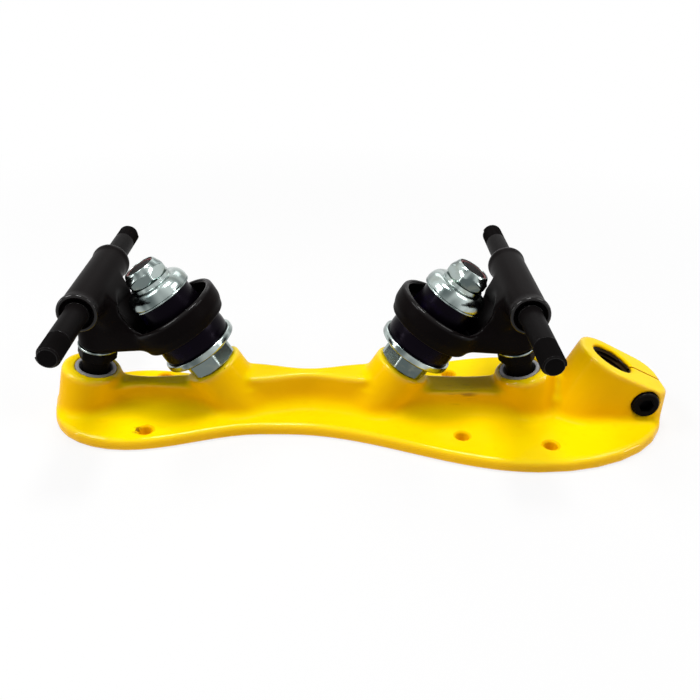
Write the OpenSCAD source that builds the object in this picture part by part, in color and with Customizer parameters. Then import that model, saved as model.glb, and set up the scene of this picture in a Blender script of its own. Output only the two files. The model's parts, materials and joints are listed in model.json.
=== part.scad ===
// Quad roller skate plate with two cushioned trucks, wheels and boot off.
// Millimetres. X runs from heel to toe, Z up from the boot face at z = 0.
// The origin is on the boot face, midway between the two axles.

/* [Plate outline] */
// Distance of the heel end behind the origin
heel_end = 98.6; // [98.4:0.1:110]
// Distance of the widest heel point behind the origin
heel_wide_x = 67; // [60:0.5:72]
// Width of the heel
heel_w = 52.4; // [46:0.1:60]
// Start of the narrow waist, behind the origin
waist_rear_x = 17; // [8:0.5:26]
// End of the narrow waist, behind the origin
waist_front_x = 8; // [2:0.5:14]
// Width of the waist
waist_w = 31.8; // [28:0.1:40]
// Distance of the widest forefoot point ahead of the origin
toe_wide_x = 83.5; // [76:0.5:92]
// Width of the forefoot
toe_w = 77.6; // [70:0.1:90]
// Distance of the toe end ahead of the origin
toe_end = 138; // [132:0.1:150]
// Thickness of the flange that lies on the boot
flange_t = 5; // [4:0.1:7]
// Rounding of the flange's upper edge
flange_edge_r = 2; // [1:0.1:2.5]

/* [Plate spine] */
// Height of the spine at the waist
spine_h = 19.5; // [17:0.1:23]
// Width of the spine's top at the middle of the waist
spine_w = 5.6; // [4:0.1:9]
// Width of the spine's top where it meets the kingpin bosses
spine_root_w = 13; // [10:0.1:16]
// Height of the scooped spine under the front truck
front_scoop_h = 14.1; // [12.5:0.1:16]
// Width of the scooped spine under the front truck
front_scoop_w = 12.4; // [9:0.1:15]
// Height of the scooped spine under the rear truck
rear_scoop_h = 15.3; // [12.5:0.1:16.5]
// Width of the scooped spine under the rear truck
rear_scoop_w = 6.6; // [5:0.1:12]
// Height of the spine between the front pivot and the toe-stop housing
toe_spine_h = 11.5; // [9:0.1:13]
// Fillet between the spine and the flange
spine_fillet = 7; // [4:0.1:7.5]
// Rounding of the spine's top edges
spine_edge_r = 1.2; // [0.6:0.1:1.6]

/* [Boot holes] */
// Diameter of the boot screw holes
boot_hole_d = 5; // [4:0.1:6]
// Heel holes, distance behind the origin
heel_hole_x = 60.1; // [52:0.1:66]
// Heel holes, spacing across
heel_hole_w = 39; // [36:0.1:42]
// Ball holes, distance ahead of the origin
ball_hole_x = 57.6; // [54:0.1:66]
// Ball holes, spacing across
ball_hole_w = 45; // [42:0.1:56]
// Toe holes, distance ahead of the origin
toe_hole_x = 89.2; // [84:0.1:98]
// Toe holes, spacing across
toe_hole_w = 56.4; // [50:0.1:62]

/* [Toe stop] */
// Distance of the housing's mouth centre ahead of the origin
stop_x = 116.9; // [115:0.1:119]
// Height of the housing's mouth centre
stop_z = 25.7; // [24:0.1:28]
// Lean of the toe-stop stem towards the toe
stop_tilt = 26; // [22:0.5:29]
// Outer radius of the housing around the stem
stop_house_r = 14.2; // [13:0.1:16]
// Corner radius of the housing's front end
stop_corner_r = 8; // [5:0.1:10]
// Half width of the housing's front end
stop_front_half_w = 13; // [12:0.1:16]
// Diameter of the toe-stop stem's thread
stop_thread_d = 15.88; // [14:0.01:16]
// Wall of the threaded sleeve
sleeve_wall = 1.7; // [1.2:0.1:2]
// Length of the threaded sleeve
sleeve_len = 20; // [14:0.1:20.5]
// Thickness of the housing's lip above the sleeve
sleeve_lip = 1.4; // [0.8:0.1:2]
// Radial room between the stem and the housing's lip
stem_room = 0.3; // [0.1:0.05:0.5]
// Width of the clamp slit
slit_w = 1.2; // [0.8:0.1:2]
// Clamp screw, distance ahead of the origin
clamp_x = 127.3; // [126.5:0.1:128.5]
// Clamp screw, height above the boot face
clamp_z = 13.2; // [12:0.1:14]
// Diameter of the clamp screw's shank
clamp_d = 6; // [5:0.1:6]
// Diameter of the clamp screw's head
clamp_head_d = 10; // [9:0.1:10.5]
// Height of the clamp screw's head
clamp_head_h = 6; // [5:0.1:7]
// How far the clamp screw's head stands proud
clamp_head_proud = 1.6; // [0.4:0.1:3]
// Width across flats of the clamp screw's socket
clamp_socket_af = 5; // [4:0.1:5.5]
// Width across flats of the clamp nut
clamp_nut_af = 10; // [9:0.1:10]
// Thickness of the clamp nut
clamp_nut_h = 5; // [4:0.1:6]

/* [Truck layout] */
// Distance between the two axles
wheelbase = 153.6; // [150:0.1:158]
// Height of the axles above the boot face
axle_z = 54.7; // [53:0.1:58]
// Kingpin boss face, distance from the origin
kingpin_x = 36.3; // [35:0.1:39]
// Kingpin boss face, height
kingpin_z = 22.6; // [21.5:0.1:24.5]
// Lean of the kingpin towards its axle
kingpin_tilt = 31; // [27:0.5:34]
// Pivot ball, distance from the origin
pivot_x = 82.3; // [80:0.1:84]
// Pivot ball, height
pivot_z = 17; // [16:0.1:18.5]
// Lean of the pivot pin towards the kingpin
pivot_tilt = 13.5; // [9:0.5:17]

/* [Kingpin stack] */
// Diameter of the kingpin
kingpin_d = 9.52; // [8:0.01:10]
// Depth of the kingpin in its boss
kingpin_depth = 17; // [13:0.1:18]
// How far the kingpin stands out of its nut
kingpin_proud = 0.7; // [0.2:0.1:4]
// Radius of the kingpin boss
kingpin_boss_r = 10.8; // [10.4:0.1:13]
// Wall of the threaded insert in the boss
insert_wall = 2.6; // [2:0.1:3]
// Width across flats of the jam nut
jam_nut_af = 17.5; // [16:0.1:19]
// Thickness of the jam nut
jam_nut_h = 7.1; // [5.5:0.1:8]
// Radius of the lower cushion washer
low_washer_r = 14.3; // [13.8:0.1:15.5]
// Sheet thickness of the washers
washer_t = 1.5; // [1:0.1:1.8]
// Height of the lower washer's rim
low_washer_h = 3.3; // [2.6:0.1:4]
// Height of the lower cushion between its washer and the yoke
low_cushion_h = 9; // [8:0.1:11]
// Swell of the lower cushion above its washer's rim
low_cushion_bulge = 0.6; // [0.2:0.1:0.9]
// Height of the upper cushion between the yoke and its cup
up_cushion_h = 11.6; // [10.5:0.1:12.4]
// Lower radius of the upper cushion
up_cushion_base_r = 12; // [11:0.1:13]
// Upper radius of the upper cushion
up_cushion_r = 10.7; // [10:0.1:11]
// Radius of the upper cushion cup
cup_r = 11.8; // [11.2:0.1:12.2]
// Height of the upper cushion cup
cup_h = 6; // [4.5:0.1:7]
// Width across flats of the kingpin nut
nut_af = 14.3; // [13.5:0.1:15]
// Height of the kingpin nut's hexagon
nut_hex_h = 4; // [3.4:0.1:5.2]
// Height of the kingpin nut's round collar
nut_collar_h = 3.6; // [2.6:0.1:4.5]

/* [Hanger] */
// Outer radius of the yoke ring
yoke_r = 17.7; // [16.8:0.1:18.5]
// Wall of the yoke's cup around the upper cushion
yoke_wall = 2.3; // [1.8:0.1:3]
// Thickness of the yoke's web between the cushions
yoke_web_t = 5; // [4:0.1:6]
// Depth of the yoke's cup around the upper cushion
yoke_up_h = 5.4; // [4:0.1:6]
// Radius of the hole through the yoke's web
yoke_hole_r = 7.6; // [7:0.1:8.5]
// Radius of the axle tube
axle_tube_r = 6.7; // [6.2:0.1:7.5]
// Length of the axle tube
axle_tube_len = 47; // [42:0.1:52]
// Length of the flared lip at the axle tube's ends
axle_lip_len = 4; // [2:0.1:6]
// Radial flare of the axle tube's ends
axle_lip_flare = 0.5; // [0.1:0.1:0.8]
// Wall of the axle tube's lip around its recess
axle_lip_wall = 1.7; // [1.2:0.1:2]
// Depth of the recess in the axle tube's ends
axle_tube_recess = 1.6; // [0.8:0.1:3]
// Width of the saddle at the axle tube
saddle_w = 21; // [18:0.1:28]
// Distance between the saddle's two feet on the yoke
saddle_foot_w = 8; // [6:0.1:10]
// Radius of the saddle's feet
saddle_foot_r = 3.2; // [2.6:0.1:3.6]
// Distance of the saddle's feet from the kingpin
saddle_foot_u = 15; // [14:0.1:16]
// Radius of the pivot arm's end
pivot_arm_r = 7.4; // [7:0.1:8]
// Height of the pivot arm's round end
pivot_arm_h = 7; // [6:0.1:9]
// Radius of the pivot arm's fan on the yoke
arm_fan_r = 15; // [12:0.1:16]
// Room between the hanger and the nut and cup inside it
saddle_room = 1.6; // [1.3:0.1:1.7]

/* [Axle] */
// Diameter of the axle's stubs, for the wheel bearings
axle_d = 8; // [7:0.01:9]
// Extra radius of the axle's pressed middle
axle_swell = 0.3; // [0.2:0.05:0.6]
// Length of the front axle
front_axle_len = 114.4; // [100:0.1:120]
// Length of the rear axle
rear_axle_len = 107.2; // [96:0.1:116]
// Chamfer on the axle's tips
axle_chamfer = 0.9; // [0.4:0.1:1.2]

/* [Pivot] */
// Radius of the pivot ball and stem
ball_r = 5.1; // [4.6:0.1:5.2]
// Outer radius of the pivot cup
pivot_cup_r = 7.65; // [7.4:0.05:8.2]
// Height of the pivot cup above the ball's centre
pivot_cup_h = 4.2; // [3.6:0.1:4.8]
// Floor of the pivot cup under the ball
pivot_cup_floor = 2; // [1.5:0.1:3]
// Radius of the boss around the pivot cup
pivot_boss_r = 11.2; // [10.8:0.1:12.4]
// Distance of the boss from the cup's middle, away from the kingpin
pivot_boss_shift = 1.3; // [0:0.1:1.5]
// Rounding of the pivot boss rim
pivot_rim_r = 2; // [1:0.1:2.1]
// Height of the pivot arm's face above the ball's centre
pivot_arm_face = 14.2; // [12.5:0.1:15]
// Thickness of the pivot washer
pivot_washer_t = 0.8; // [0.5:0.1:1.2]
// Radius of the pivot washer
pivot_washer_r = 7.5; // [7:0.1:7.9]
// Width across flats of the pivot jam nut
pivot_nut_af = 13; // [12:0.1:13.5]
// Thickness of the pivot jam nut
pivot_nut_h = 4.5; // [3.5:0.1:5]
// Diameter of the pivot pin's thread
pivot_thread_d = 8; // [7:0.1:9]
// Depth of the pivot pin's thread in the arm
pivot_thread_len = 12; // [9:0.1:14]

/* [Fits] */
// Radial clearance of threads and pressed pieces
press_fit = 0.05; // [0.02:0.01:0.1]
// Radial clearance of loose washers and cushions
loose_fit = 0.25; // [0.1:0.05:0.3]
// Room between the pivot ball and its cup
ball_room = 0.3; // [0.2:0.05:0.4]

/* [Hidden] */
$fn = 64;
eps = 0.01;
edge = 0.4;
big = 400;
hull_fn = 32;

// Colours of the finishes
nylon_yellow = [1.0, 0.82, 0.02];
coat_black = [0.08, 0.07, 0.08];
steel_black = [0.12, 0.11, 0.12];
zinc = [0.78, 0.82, 0.84];
urethane_black = [0.10, 0.08, 0.14];
cup_grey = [0.55, 0.55, 0.55];
lock_ring_red = [0.35, 0.06, 0.05];

// Radii that several pieces share
axle_r = axle_d / 2;
axle_mid_r = axle_r + axle_swell;
kingpin_r = kingpin_d / 2;
kingpin_hole_r = kingpin_r + loose_fit;
insert_r = kingpin_r + insert_wall;
yoke_in_r = yoke_r - yoke_wall;
low_cushion_r = low_washer_r - washer_t - loose_fit;
cushion_neck_r = yoke_hole_r - loose_fit;
socket_r = ball_r + ball_room;
axle_x = wheelbase / 2;
sleeve_r = stop_thread_d / 2 + sleeve_wall;
nut_corner_r = nut_af / 2 / cos(30);
nut_collar_r = nut_af / 2 - edge;
nut_ring_r = mix(kingpin_r, nut_collar_r, 0.6);

// Levels along the kingpin, from the face of its boss
low_washer_k = jam_nut_h;
low_cushion_k = low_washer_k + washer_t;
yoke_web_k = low_cushion_k + low_cushion_h;
up_cushion_k = yoke_web_k + yoke_web_t;
yoke_k = up_cushion_k + yoke_up_h;
cup_k = up_cushion_k + up_cushion_h;
nut_k = cup_k + cup_h;
collar_k = nut_k + nut_hex_h;
nut_top_k = collar_k + nut_collar_h;

// Levels along the pivot pin, from the centre of its ball
pivot_washer_s = pivot_arm_face - pivot_washer_t;
pivot_nut_s = pivot_washer_s - pivot_nut_h;
pivot_cup_s = -(socket_r + pivot_cup_floor);

// Smooth step from 0 to 1
function ease(t) = (1 - cos(180 * t)) / 2;
function mix(a, b, t) = a + (b - a) * t;

// Half width of the plate at x, round at both ends
function half_w(x) =
  x < -heel_wide_x ? heel_w / 2 * sqrt(1 - pow((x + heel_wide_x) / (heel_end - heel_wide_x), 2)) :
  x < -waist_rear_x ? mix(heel_w, waist_w, ease((x + heel_wide_x) / (heel_wide_x - waist_rear_x))) / 2 :
  x < -waist_front_x ? waist_w / 2 :
  x < toe_wide_x ? mix(waist_w, toe_w, ease((x + waist_front_x) / (toe_wide_x + waist_front_x))) / 2 :
  toe_w / 2 * sqrt(1 - pow((x - toe_wide_x) / (toe_end - toe_wide_x), 2));

// Places of the sections, close together at the round ends
end_steps = 7;
mid_steps = 28;
end_angle = 8;
section_xs = concat(
  [for (i = [0:end_steps]) -heel_wide_x - (heel_end - heel_wide_x) * cos(mix(end_angle, 90, i / end_steps))],
  [for (i = [1:mid_steps - 1]) mix(-heel_wide_x, toe_wide_x, i / mid_steps)],
  [for (i = [0:end_steps]) toe_wide_x + (toe_end - toe_wide_x) * sin(mix(0, 90 - end_angle, i / end_steps))]
);

// Place, height and top half width of the spine along X
spine_end_h = flange_t + 2.5;
spine_stations = [
  [-heel_end, spine_end_h, edge],
  [-pivot_x, rear_scoop_h, rear_scoop_w / 2 + 3],
  [-mix(kingpin_x, pivot_x, 0.55), rear_scoop_h, rear_scoop_w / 2],
  [-mix(kingpin_x, pivot_x, 0.25), rear_scoop_h, rear_scoop_w / 2 + 1],
  [-kingpin_x + 6, spine_h, spine_root_w / 2 + 2],
  [-kingpin_x + 14, spine_h, spine_root_w / 2],
  [0, spine_h, spine_w / 2],
  [kingpin_x - 14, spine_h, spine_root_w / 2],
  [kingpin_x - 6, spine_h, spine_root_w / 2 + 2],
  [mix(kingpin_x, pivot_x, 0.25), front_scoop_h, front_scoop_w / 2 + 0.5],
  [mix(kingpin_x, pivot_x, 0.55), front_scoop_h, front_scoop_w / 2],
  [pivot_x, front_scoop_h, front_scoop_w / 2 + 2],
  [mix(pivot_x, stop_x, 0.5), toe_spine_h, front_scoop_w / 2 + 2],
  [stop_x, toe_spine_h, front_scoop_w / 2 + 2],
  [toe_end, spine_end_h, edge]
];
function spine_at(x, column) =
  let (
    j = max([for (i = [0:len(spine_stations) - 2]) if (spine_stations[i][0] <= x) i]),
    p = spine_stations[j],
    q = spine_stations[j + 1]
  )
  mix(p[column], q[column], ease((x - p[0]) / (q[0] - p[0])));

// One side of the plate's section: rounded flange, fillet, spine
function half_section(w, h, b) =
  let (
    e = min(flange_edge_r, w * 0.35),
    s = spine_edge_r,
    f = min(spine_fillet, h - flange_t - s - edge, w - e - b - edge)
  )
  concat(
    [[w, 0]],
    [for (a = [0:45:90]) [w - e + e * cos(a), flange_t - e + e * sin(a)]],
    [for (a = [0:22.5:90]) [b + f - f * sin(a), flange_t + f - f * cos(a)]],
    [for (a = [0:45:90]) [b - s + s * cos(a), h - s + s * sin(a)]]
  );
function section(x) =
  let (h = half_section(half_w(x), spine_at(x, 1), max(spine_at(x, 2), spine_edge_r + 0.1)), n = len(h))
  concat([for (p = h) [x, p[0], p[1]]], [for (i = [n - 1:-1:0]) [x, -h[i][0], h[i][1]]]);

// Closed skin over a list of loops that have the same number of points
module skin(loops) {
  m = len(loops);
  n = len(loops[0]);
  walls = [for (j = [0:m - 2]) for (i = [0:n - 1])
    let (a = j * n + i, b = j * n + (i + 1) % n, c = a + n, d = b + n)
      each [[a, c, b], [b, c, d]]];
  first = [for (i = [0:n - 1]) i];
  last = [for (i = [n - 1:-1:0]) (m - 1) * n + i];
  polyhedron(concat([for (l = loops) each l]), concat(walls, [first, last]));
}

// Places a piece on the kingpin of the front truck, k above its boss
module on_kingpin(k = 0) {
  translate([kingpin_x, 0, kingpin_z]) rotate([0, kingpin_tilt, 0]) translate([0, 0, k]) children();
}

// Places a piece on the pivot pin of the front truck, s above its ball
module on_pivot(s = 0) {
  translate([pivot_x, 0, pivot_z]) rotate([0, -pivot_tilt, 0]) translate([0, 0, s]) children();
}

// Places a piece on the toe-stop stem, s above the housing's mouth
module on_stop(s = 0) {
  translate([stop_x, 0, stop_z]) rotate([0, stop_tilt, 0]) translate([0, 0, s]) children();
}

// Places a piece on the clamp screw's axis, y along it
module on_clamp(y = 0) {
  translate([clamp_x, y, clamp_z]) rotate([-90, 0, 0]) children();
}

// Draws a front-truck piece at the rear, turned to face the heel
module at_rear() {
  mirror([1, 0, 0]) children();
}

module hexagon(af, h) {
  cylinder(d = af / cos(30), h = h, $fn = 6);
}

// Hexagon with both ends turned to a round chamfer
module nut_body(af, h) {
  chamfer = (af / cos(30) - af) / 2;
  intersection() {
    hexagon(af, h);
    rotate_extrude() polygon([
      [0, 0], [af / 2, 0], [af / 2 + chamfer, chamfer / 2],
      [af / 2 + chamfer, h - chamfer / 2], [af / 2, h], [0, h]
    ]);
  }
}

// Keeps what lies above the inside of the flange and short of its heel end, to trim the bosses with
module from_flange() {
  intersection() {
    children();
    translate([-heel_end + 2 * edge, -big / 2, flange_t * 0.8]) cube(big);
  }
}

// Boss around a kingpin, square to it
module kingpin_boss() {
  on_kingpin(-2 * kingpin_z) cylinder(r = kingpin_boss_r, h = 2 * kingpin_z);
}

// Boss around a pivot cup, with a rounded rim
module pivot_boss() {
  e = pivot_rim_r;
  on_pivot() translate([pivot_boss_shift, 0, 0]) rotate_extrude() polygon([
    [0, -2 * pivot_z], [pivot_boss_r, -2 * pivot_z], [pivot_boss_r, pivot_cup_h - e],
    [pivot_boss_r - e * 0.1, pivot_cup_h - e * 0.55], [pivot_boss_r - e * 0.4, pivot_cup_h - e * 0.2],
    [pivot_boss_r - e, pivot_cup_h], [0, pivot_cup_h]
  ]);
}

// Housing of the toe stop, cut square to the stem at the mouth
module stop_housing() {
  front_x = toe_end - stop_corner_r - 2 * edge;
  front_y = stop_front_half_w - stop_corner_r;
  difference() {
    hull() {
      on_stop(-stop_z) cylinder(r = stop_house_r, h = stop_z, $fn = hull_fn);
      for (y = [-front_y, front_y])
        translate([front_x, y, flange_t / 2]) cylinder(r = stop_corner_r, h = stop_z, $fn = hull_fn);
    }
    on_stop() translate([-big / 2, -big / 2, 0]) cube(big);
  }
}

module boot_holes() {
  for (p = [[-heel_hole_x, heel_hole_w], [ball_hole_x, ball_hole_w], [toe_hole_x, toe_hole_w]])
    for (y = [-p[1] / 2, p[1] / 2])
      translate([p[0], y, -eps]) cylinder(d = boot_hole_d, h = flange_t * 2);
}

// Holes for one truck: threaded insert and pivot cup
module truck_pockets() {
  on_kingpin(-kingpin_depth - press_fit) cylinder(r = insert_r + press_fit, h = kingpin_depth + 1);
  on_pivot(pivot_cup_s) cylinder(r = pivot_cup_r + press_fit, h = pivot_cup_h - pivot_cup_s + 1);
}

clamp_seat_y = -(stop_front_half_w + clamp_head_proud - clamp_head_h);
clamp_nut_y = stop_front_half_w - clamp_nut_h;

// Sleeve pocket, stem hole, slit and clamp screw holes of the toe stop
module stop_cuts() {
  on_stop(-big / 2) cylinder(r = sleeve_r + press_fit, h = big / 2 - sleeve_lip);
  on_stop(-big / 2) cylinder(r = stop_thread_d / 2 + stem_room, h = big);
  intersection() {
    on_stop(-big / 2) translate([0, -slit_w / 2, 0]) cube([big, slit_w, big]);
    translate([0, -big / 2, flange_t + slit_w]) cube(big);
  }
  on_clamp(-big / 2) cylinder(r = clamp_head_d / 2 + loose_fit, h = big / 2 + clamp_seat_y);
  on_clamp(clamp_seat_y - eps) cylinder(r = clamp_d / 2 + loose_fit, h = stop_front_half_w * 2);
  on_clamp(clamp_nut_y) hexagon(clamp_nut_af + 2 * press_fit, big / 2);
}

module base_plate() {
  color(nylon_yellow) difference() {
    union() {
      skin([for (x = section_xs) section(x)]);
      from_flange() kingpin_boss();
      from_flange() pivot_boss();
      from_flange() at_rear() kingpin_boss();
      from_flange() at_rear() pivot_boss();
      from_flange() stop_housing();
    }
    boot_holes();
    truck_pockets();
    at_rear() truck_pockets();
    stop_cuts();
  }
}

module toe_stop_sleeve() {
  color(steel_black) difference() {
    on_stop(-sleeve_len - sleeve_lip) cylinder(r = sleeve_r, h = sleeve_len);
    on_stop(-big / 2) cylinder(d = stop_thread_d, h = big);
    on_stop(-big / 2) translate([0, -slit_w / 2, 0]) cube([big, slit_w, big]);
  }
}

module toe_clamp_screw() {
  shank = clamp_nut_y + clamp_nut_h - clamp_seat_y;
  color(steel_black) difference() {
    union() {
      on_clamp(clamp_seat_y - clamp_head_h) cylinder(d = clamp_head_d, h = clamp_head_h);
      on_clamp(clamp_seat_y - eps) cylinder(d = clamp_d, h = shank);
    }
    on_clamp(clamp_seat_y - clamp_head_h - eps) hexagon(clamp_socket_af, clamp_head_h / 2);
  }
}

module toe_clamp_nut() {
  color(zinc) on_clamp(clamp_nut_y) difference() {
    hexagon(clamp_nut_af, clamp_nut_h);
    translate([0, 0, -eps]) cylinder(r = clamp_d / 2 + press_fit, h = clamp_nut_h + 2 * eps);
  }
}

// Rounded ring with a flat seat below and a cup above for the cushions
module yoke() {
  low_r = (yoke_k - yoke_web_k) * 0.5;
  rim_r = yoke_wall * 0.45;
  rim_mid = yoke_r - yoke_wall / 2;
  on_kingpin() rotate_extrude() polygon(concat(
    [[yoke_hole_r, yoke_web_k]],
    [for (a = [-90:15:0]) [yoke_r - low_r + low_r * cos(a), yoke_web_k + low_r + low_r * sin(a)]],
    [for (a = [0:30:180]) [rim_mid + yoke_wall / 2 * cos(a), yoke_k - rim_r + rim_r * sin(a)]],
    [[yoke_in_r, up_cushion_k], [yoke_hole_r, up_cushion_k]]
  ));
}

// Room for the cushions, the cup and the nut inside the hanger
module yoke_room() {
  nut_room_r = nut_corner_r + saddle_room;
  cone_k = cup_k + cup_h / 3;
  on_kingpin() {
    translate([0, 0, -big / 4]) cylinder(r = low_washer_r, h = big / 4 + yoke_web_k);
    translate([0, 0, yoke_web_k - 1]) cylinder(r = yoke_hole_r, h = yoke_web_t + 2);
    translate([0, 0, up_cushion_k]) cylinder(r = yoke_in_r, h = cone_k - up_cushion_k);
    translate([0, 0, cone_k - eps]) cylinder(r1 = yoke_in_r, r2 = nut_room_r, h = collar_k - cone_k);
    translate([0, 0, nut_k]) cylinder(r = nut_room_r, h = big / 4);
  }
}

// Root of the pivot arm, inside its round end
module pivot_arm_root() {
  on_pivot(pivot_arm_face + edge)
    cylinder(r = pivot_arm_r - edge / 2, h = pivot_arm_h - edge, $fn = hull_fn);
}

// Solid core of the axle tube, w wide
module axle_core(w) {
  translate([axle_x, w / 2, axle_z]) rotate([90, 0, 0])
    cylinder(r = axle_tube_r - edge, h = w, $fn = hull_fn);
}

// Tube around the axle with a flared lip at each end
module axle_tube() {
  lip_r = axle_tube_r + axle_lip_flare;
  half = axle_tube_len / 2;
  translate([axle_x, 0, axle_z]) rotate([90, 0, 0]) rotate_extrude() polygon([
    [0, -half], [lip_r, -half], [lip_r, -half + axle_lip_len / 3], [axle_tube_r, -half + axle_lip_len],
    [axle_tube_r, half - axle_lip_len], [lip_r, half - axle_lip_len / 3], [lip_r, half], [0, half]
  ]);
}

module truck_hanger() {
  yoke_h = yoke_k - yoke_web_k;
  color(coat_black) difference() {
    union() {
      yoke();
      axle_tube();
      // Saddle from the yoke up to the axle tube
      hull() {
        axle_core(saddle_w);
        for (y = [-saddle_foot_w / 2, saddle_foot_w / 2])
          on_kingpin(yoke_web_k + yoke_h * 0.45) translate([saddle_foot_u, y, 0])
            cylinder(r = saddle_foot_r, h = yoke_h * 0.5, $fn = hull_fn);
      }
      // Pivot arm that fans out from its round end to the yoke
      on_pivot(pivot_arm_face) cylinder(r = pivot_arm_r, h = pivot_arm_h);
      hull() {
        pivot_arm_root();
        on_kingpin(yoke_web_k + yoke_h * 0.2) cylinder(r = arm_fan_r, h = yoke_h * 0.4, $fn = hull_fn);
      }
      // Rib from the pivot arm up to the axle tube
      hull() {
        pivot_arm_root();
        axle_core(saddle_w * 0.6);
      }
    }
    yoke_room();
    // Axle bore with a recess at each end
    translate([axle_x, big / 2, axle_z]) rotate([90, 0, 0]) cylinder(r = axle_mid_r + press_fit, h = big);
    for (m = [0, 1]) mirror([0, m, 0])
      translate([axle_x, axle_tube_len / 2 + eps, axle_z]) rotate([90, 0, 0])
        cylinder(r = axle_tube_r + axle_lip_flare - axle_lip_wall, h = axle_tube_recess);
    // Threaded hole for the pivot pin
    on_pivot(pivot_arm_face - eps)
      cylinder(r = pivot_thread_d / 2 + press_fit, h = pivot_thread_len + press_fit);
  }
}

module truck_axle(len) {
  c = axle_chamfer;
  half = len / 2;
  mid = axle_tube_len / 2;
  color(steel_black) translate([axle_x, 0, axle_z]) rotate([90, 0, 0]) rotate_extrude() polygon([
    [0, -half], [axle_r - c, -half], [axle_r, -half + c], [axle_r, -mid], [axle_mid_r, -mid],
    [axle_mid_r, mid], [axle_r, mid], [axle_r, half - c], [axle_r - c, half], [0, half]
  ]);
}

module truck_pivot_pin() {
  color(steel_black) on_pivot() {
    sphere(r = ball_r);
    cylinder(r = ball_r, h = pivot_nut_s);
    cylinder(d = pivot_thread_d, h = pivot_arm_face + pivot_thread_len);
  }
}

module truck_pivot_nut() {
  color(steel_black) on_pivot(pivot_nut_s) difference() {
    nut_body(pivot_nut_af, pivot_nut_h);
    translate([0, 0, -eps]) cylinder(r = pivot_thread_d / 2 + press_fit, h = pivot_nut_h + 2 * eps);
  }
}

module truck_pivot_washer() {
  color(zinc) on_pivot(pivot_washer_s) difference() {
    cylinder(r = pivot_washer_r, h = pivot_washer_t);
    translate([0, 0, -eps]) cylinder(r = pivot_thread_d / 2 + loose_fit, h = pivot_washer_t + 2 * eps);
  }
}

// Cup with a round seat for the ball and a mouth that widens upwards
module truck_pivot_cup() {
  mouth_r = socket_r + ball_r * 0.16;
  color(cup_grey) on_pivot() difference() {
    translate([0, 0, pivot_cup_s]) cylinder(r = pivot_cup_r, h = pivot_cup_h - pivot_cup_s);
    sphere(r = socket_r);
    cylinder(r1 = socket_r, r2 = mouth_r, h = pivot_cup_h + eps);
  }
}

module truck_kingpin() {
  c = kingpin_r * 0.2;
  top = nut_top_k + kingpin_proud;
  color(steel_black) on_kingpin() rotate_extrude() polygon([
    [0, -kingpin_depth], [kingpin_r - c, -kingpin_depth], [kingpin_r, -kingpin_depth + c],
    [kingpin_r, top - c], [kingpin_r - c, top], [0, top]
  ]);
}

module truck_kingpin_insert() {
  color(steel_black) on_kingpin(-kingpin_depth) difference() {
    cylinder(r = insert_r, h = kingpin_depth);
    translate([0, 0, -eps]) cylinder(r = kingpin_r + press_fit, h = kingpin_depth + 2 * eps);
  }
}

module truck_kingpin_jam_nut() {
  color(zinc) on_kingpin() difference() {
    nut_body(jam_nut_af, jam_nut_h);
    translate([0, 0, -eps]) cylinder(r = kingpin_r + press_fit, h = jam_nut_h + 2 * eps);
  }
}

// Dished washer whose rim holds the lower cushion
module truck_lower_washer() {
  t = washer_t;
  color(zinc) on_kingpin(low_washer_k) rotate_extrude() polygon([
    [kingpin_hole_r, 0], [low_washer_r - t, 0], [low_washer_r, t * 0.6], [low_washer_r, low_washer_h],
    [low_washer_r - t, low_washer_h], [low_washer_r - t, t], [kingpin_hole_r, t]
  ]);
}

module truck_lower_cushion() {
  rim = low_washer_h - washer_t + loose_fit;
  top_r = low_cushion_r + low_cushion_bulge / 2;
  color(urethane_black) on_kingpin(low_cushion_k) rotate_extrude() polygon([
    [kingpin_hole_r, 0], [low_cushion_r, 0], [low_cushion_r, rim],
    [low_cushion_r + low_cushion_bulge, rim + low_cushion_bulge],
    [low_cushion_r + low_cushion_bulge, low_cushion_h * 0.6], [top_r, low_cushion_h],
    [cushion_neck_r, low_cushion_h], [cushion_neck_r, low_cushion_h + yoke_web_t / 2],
    [kingpin_hole_r, low_cushion_h + yoke_web_t / 2]
  ]);
}

module truck_upper_cushion() {
  color(urethane_black) on_kingpin(up_cushion_k) rotate_extrude() polygon([
    [kingpin_hole_r, -yoke_web_t / 2], [cushion_neck_r, -yoke_web_t / 2], [cushion_neck_r, 0],
    [up_cushion_base_r, 0], [up_cushion_base_r, yoke_up_h * 0.6], [up_cushion_r, up_cushion_h],
    [kingpin_hole_r, up_cushion_h]
  ]);
}

// Domed cup between the upper cushion and the nut
module truck_cushion_cup() {
  seat_r = nut_corner_r + edge;
  lip = 1.5 * edge;
  color(zinc) on_kingpin(cup_k) rotate_extrude() polygon(concat(
    [[kingpin_hole_r, 0], [cup_r, 0]],
    [for (a = [0:15:90]) [seat_r + (cup_r - seat_r) * cos(a), lip + (cup_h - lip) * sin(a)]],
    [[kingpin_hole_r, cup_h]]
  ));
}

// Lock nut with a round collar that holds its locking ring
module truck_kingpin_nut() {
  color(zinc) on_kingpin(nut_k) difference() {
    union() {
      nut_body(nut_af, nut_hex_h);
      translate([0, 0, nut_hex_h]) rotate_extrude() polygon([
        [0, -edge], [nut_collar_r, -edge], [nut_collar_r, nut_collar_h - 2 * edge],
        [nut_collar_r - 2 * edge, nut_collar_h], [0, nut_collar_h]
      ]);
    }
    translate([0, 0, -eps]) cylinder(r = kingpin_r + press_fit, h = nut_hex_h + nut_collar_h + 1);
    translate([0, 0, nut_hex_h]) cylinder(r = nut_ring_r + press_fit, h = nut_collar_h + 1);
  }
}

module truck_nut_lock_ring() {
  color(lock_ring_red) on_kingpin(collar_k) difference() {
    cylinder(r = nut_ring_r, h = nut_collar_h - edge);
    translate([0, 0, -eps]) cylinder(r = kingpin_r + press_fit, h = nut_collar_h);
  }
}

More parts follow.
